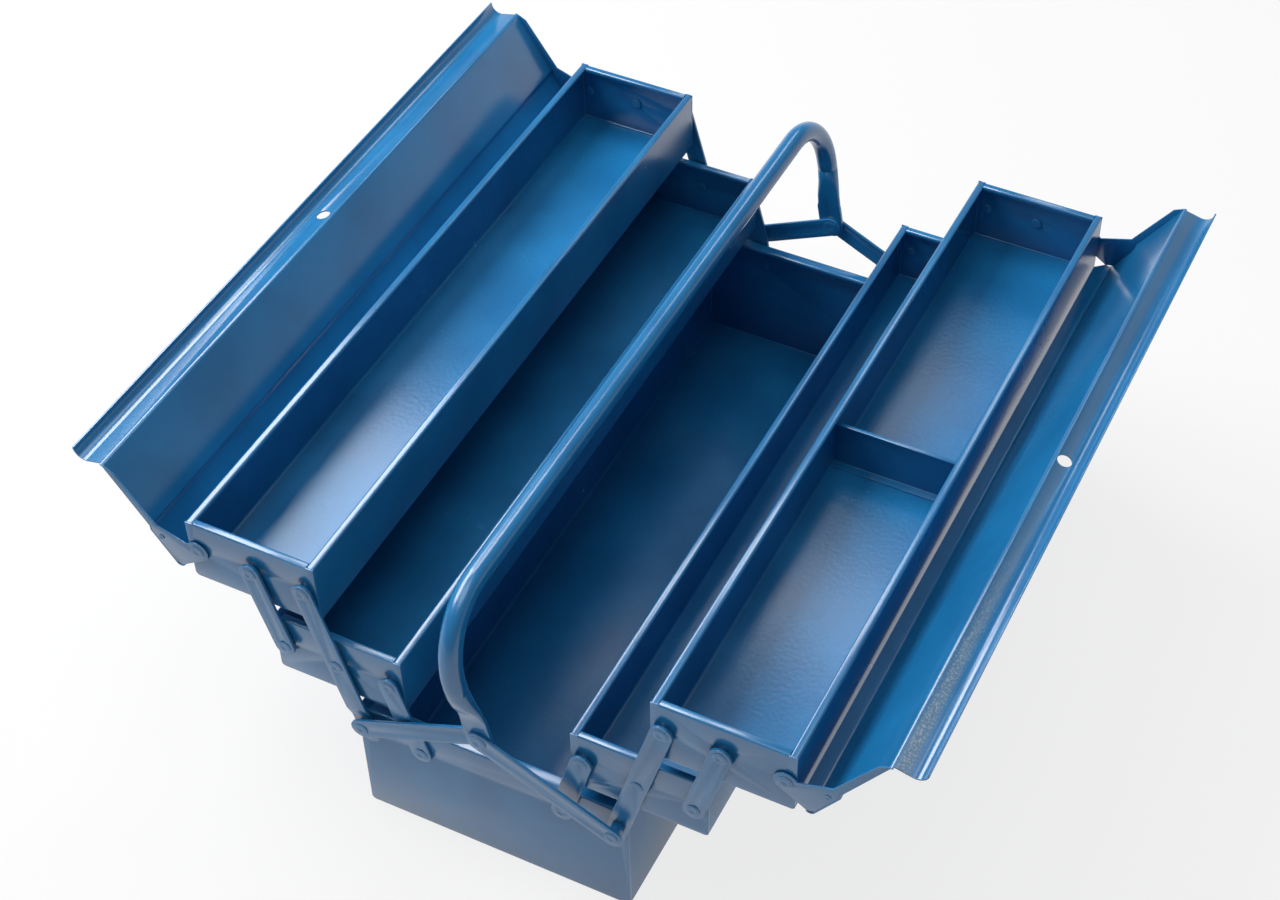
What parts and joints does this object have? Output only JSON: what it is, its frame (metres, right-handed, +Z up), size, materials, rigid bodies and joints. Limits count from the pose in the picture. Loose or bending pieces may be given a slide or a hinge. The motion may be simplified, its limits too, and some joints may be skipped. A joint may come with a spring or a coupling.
{
  "type": "cantilever tool box",
  "caption": "Steel cantilever tool box: trays on parallel links swing out and up over an open base, with hinged lids and a tube handle.",
  "frame": {"origin": "centre of the base underside, the face the box stands on", "axes": "+Z up; Y along the length of the box and parallel to every hinge; X across it, with the divided tray on +X"},
  "size_m": [0.5844, 0.5858, 0.2593],
  "materials": {
    "blue_enamel": "semi-gloss stoved blue enamel on sheet steel",
    "painted_rivets": "rivets and pivots sprayed over with the same blue enamel"
  },
  "bodies": {
    "base": {"base_pan": "blue_enamel", "base_end_near": "blue_enamel", "base_end_far": "blue_enamel", "base_rivets": "painted_rivets"},
    "left_long_links": {"left_long_link_near": "blue_enamel", "left_long_link_far": "blue_enamel", "left_stay_rivets": "painted_rivets"},
    "left_lower_tray": {"left_lower_tray_pan": "blue_enamel", "left_lower_tray_end_near": "blue_enamel", "left_lower_tray_end_far": "blue_enamel", "left_lower_tray_rivets": "painted_rivets"},
    "left_lower_links": {"left_lower_link_near": "blue_enamel", "left_lower_link_far": "blue_enamel"},
    "left_upper_tray": {"left_upper_tray_pan": "blue_enamel", "left_upper_tray_end_near": "blue_enamel", "left_upper_tray_end_far": "blue_enamel", "left_upper_tray_rivets": "painted_rivets"},
    "left_upper_links": {"left_upper_link_near": "blue_enamel", "left_upper_link_far": "blue_enamel"},
    "left_stays": {"left_stay_near": "blue_enamel", "left_stay_far": "blue_enamel"},
    "left_lid": {"left_lid_panel": "blue_enamel", "left_lid_plate_near": "blue_enamel", "left_lid_plate_far": "blue_enamel"},
    "right_long_links": {"right_long_link_near": "blue_enamel", "right_long_link_far": "blue_enamel", "right_stay_rivets": "painted_rivets"},
    "right_lower_tray": {"right_lower_tray_pan": "blue_enamel", "right_lower_tray_end_near": "blue_enamel", "right_lower_tray_end_far": "blue_enamel", "right_lower_tray_rivets": "painted_rivets"},
    "right_lower_links": {"right_lower_link_near": "blue_enamel", "right_lower_link_far": "blue_enamel"},
    "right_upper_tray": {"right_upper_tray_pan": "blue_enamel", "right_upper_tray_end_near": "blue_enamel", "right_upper_tray_end_far": "blue_enamel", "right_upper_tray_rivets": "painted_rivets", "tray_divider": "blue_enamel"},
    "right_upper_links": {"right_upper_link_near": "blue_enamel", "right_upper_link_far": "blue_enamel"},
    "right_stays": {"right_stay_near": "blue_enamel", "right_stay_far": "blue_enamel"},
    "right_lid": {"right_lid_panel": "blue_enamel", "right_lid_plate_near": "blue_enamel", "right_lid_plate_far": "blue_enamel"},
    "centre_pivots": {"centre_pivots": "painted_rivets"},
    "handle": {"handle": "blue_enamel"}
  },
  "joints": [
    {"name": "left_fold", "type": "hinge", "parent": "base", "child": "left_long_links", "pos_m": [-0.09125, 0, 0.0795], "axis": [0, 1, 0], "range_deg": [0, 52.37]},
    {"name": "left_lower_tray_level", "type": "hinge", "parent": "left_long_links", "child": "left_lower_tray", "pos_m": [-0.10862, 0, 0.14214], "axis": [0, 1, 0], "range_deg": [-52.37, 0]},
    {"name": "left_upper_tray_level", "type": "hinge", "parent": "left_long_links", "child": "left_upper_tray", "pos_m": [-0.12599, 0, 0.20477], "axis": [0, 1, 0], "range_deg": [-52.37, 0]},
    {"name": "left_lower_link_swing", "type": "hinge", "parent": "base", "child": "left_lower_links", "pos_m": [-0.05225, 0, 0.0795], "axis": [0, 1, 0], "range_deg": [0, 52.37]},
    {"name": "left_upper_link_swing", "type": "hinge", "parent": "left_lower_tray", "child": "left_upper_links", "pos_m": [-0.14762, 0, 0.14214], "axis": [0, 1, 0], "range_deg": [0, 52.37]},
    {"name": "left_stay_swing", "type": "hinge", "parent": "left_long_links", "child": "left_stays", "pos_m": [-0.09392, 0, 0.08914], "axis": [0, 1, 0], "range_deg": [-61.78, 0]},
    {"name": "left_lid_hinge", "type": "hinge", "parent": "left_upper_tray", "child": "left_lid", "pos_m": [-0.20634, 0, 0.20327], "axis": [0, 1, 0], "range_deg": [0, 119]},
    {"name": "right_fold", "type": "hinge", "parent": "base", "child": "right_long_links", "pos_m": [0.09125, 0, 0.0795], "axis": [0, 1, 0], "range_deg": [-52.37, 0]},
    {"name": "right_lower_tray_level", "type": "hinge", "parent": "right_long_links", "child": "right_lower_tray", "pos_m": [0.10862, 0, 0.14214], "axis": [0, 1, 0], "range_deg": [0, 52.37]},
    {"name": "right_upper_tray_level", "type": "hinge", "parent": "right_long_links", "child": "right_upper_tray", "pos_m": [0.12599, 0, 0.20477], "axis": [0, 1, 0], "range_deg": [0, 52.37]},
    {"name": "right_lower_link_swing", "type": "hinge", "parent": "base", "child": "right_lower_links", "pos_m": [0.05225, 0, 0.0795], "axis": [0, 1, 0], "range_deg": [-52.37, 0]},
    {"name": "right_upper_link_swing", "type": "hinge", "parent": "right_lower_tray", "child": "right_upper_links", "pos_m": [0.14762, 0, 0.14214], "axis": [0, 1, 0], "range_deg": [-52.37, 0]},
    {"name": "right_stay_swing", "type": "hinge", "parent": "right_long_links", "child": "right_stays", "pos_m": [0.09392, 0, 0.08914], "axis": [0, 1, 0], "range_deg": [0, 61.78]},
    {"name": "right_lid_hinge", "type": "hinge", "parent": "right_upper_tray", "child": "right_lid", "pos_m": [0.20634, 0, 0.20327], "axis": [0, 1, 0], "range_deg": [-119, 0]},
    {"name": "centre_rise", "type": "slide", "parent": "base", "child": "centre_pivots", "axis": [0, 0, 1], "range_m": [0, 0.0131]},
    {"name": "handle_swing", "type": "hinge", "parent": "centre_pivots", "child": "handle", "pos_m": [0, 0, 0.13454], "axis": [0, 1, 0], "range_deg": [-26, 46]}
  ],
  "couplings": [
    {"joint": "left_lower_tray_level", "follows": "left_fold", "ratio": -1},
    {"joint": "left_upper_tray_level", "follows": "left_fold", "ratio": -1},
    {"joint": "left_lower_link_swing", "follows": "left_fold", "ratio": 1},
    {"joint": "left_upper_link_swing", "follows": "left_fold", "ratio": 1},
    {"joint": "left_stay_swing", "follows": "left_fold", "ratio": -1.1794},
    {"joint": "right_fold", "follows": "left_fold", "ratio": -1},
    {"joint": "right_lower_tray_level", "follows": "left_fold", "ratio": 1},
    {"joint": "right_upper_tray_level", "follows": "left_fold", "ratio": 1},
    {"joint": "right_lower_link_swing", "follows": "left_fold", "ratio": -1},
    {"joint": "right_upper_link_swing", "follows": "left_fold", "ratio": -1},
    {"joint": "right_stay_swing", "follows": "left_fold", "ratio": 1.1794},
    {"joint": "centre_rise", "follows": "left_fold", "m_per_rad": 0.014319}
  ]
}
